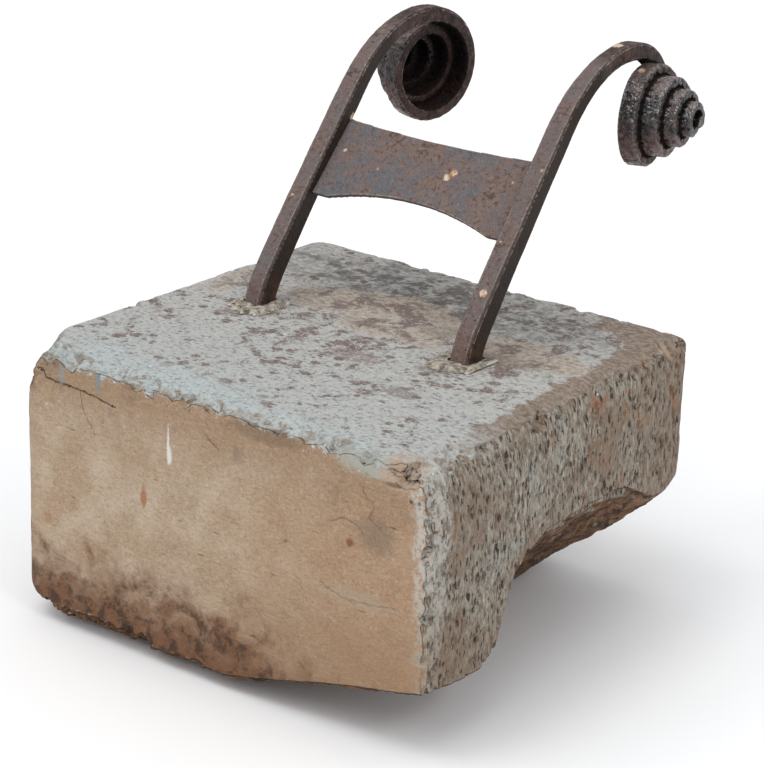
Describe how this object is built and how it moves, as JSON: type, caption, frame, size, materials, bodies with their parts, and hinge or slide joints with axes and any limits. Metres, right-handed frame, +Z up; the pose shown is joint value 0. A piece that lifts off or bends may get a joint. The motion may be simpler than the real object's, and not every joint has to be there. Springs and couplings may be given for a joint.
{
  "type": "boot scraper",
  "caption": "Wrought-iron boot scraper: a waisted blade between leaning uprights with conical scrolls, leaded into a worn sandstone block.",
  "frame": {"origin": "middle of the stone block's flat base", "axes": "+X to the right along the sawn front face, +Y backwards, the way the uprights lean, +Z up"},
  "size_m": [0.358, 0.4121, 0.3879],
  "materials": {
    "sandstone": "rough, with a worn blue-grey coat of paint on top",
    "wrought_iron": "dark patina with rust",
    "lead": "dull, weathered to whitish grey"
  },
  "bodies": {
    "root": {"stone_block": "sandstone", "left_upright": "wrought_iron", "right_upright": "wrought_iron", "scraper_blade": "wrought_iron", "left_lead_plug": "lead", "right_lead_plug": "lead"}
  },
  "joints": []
}
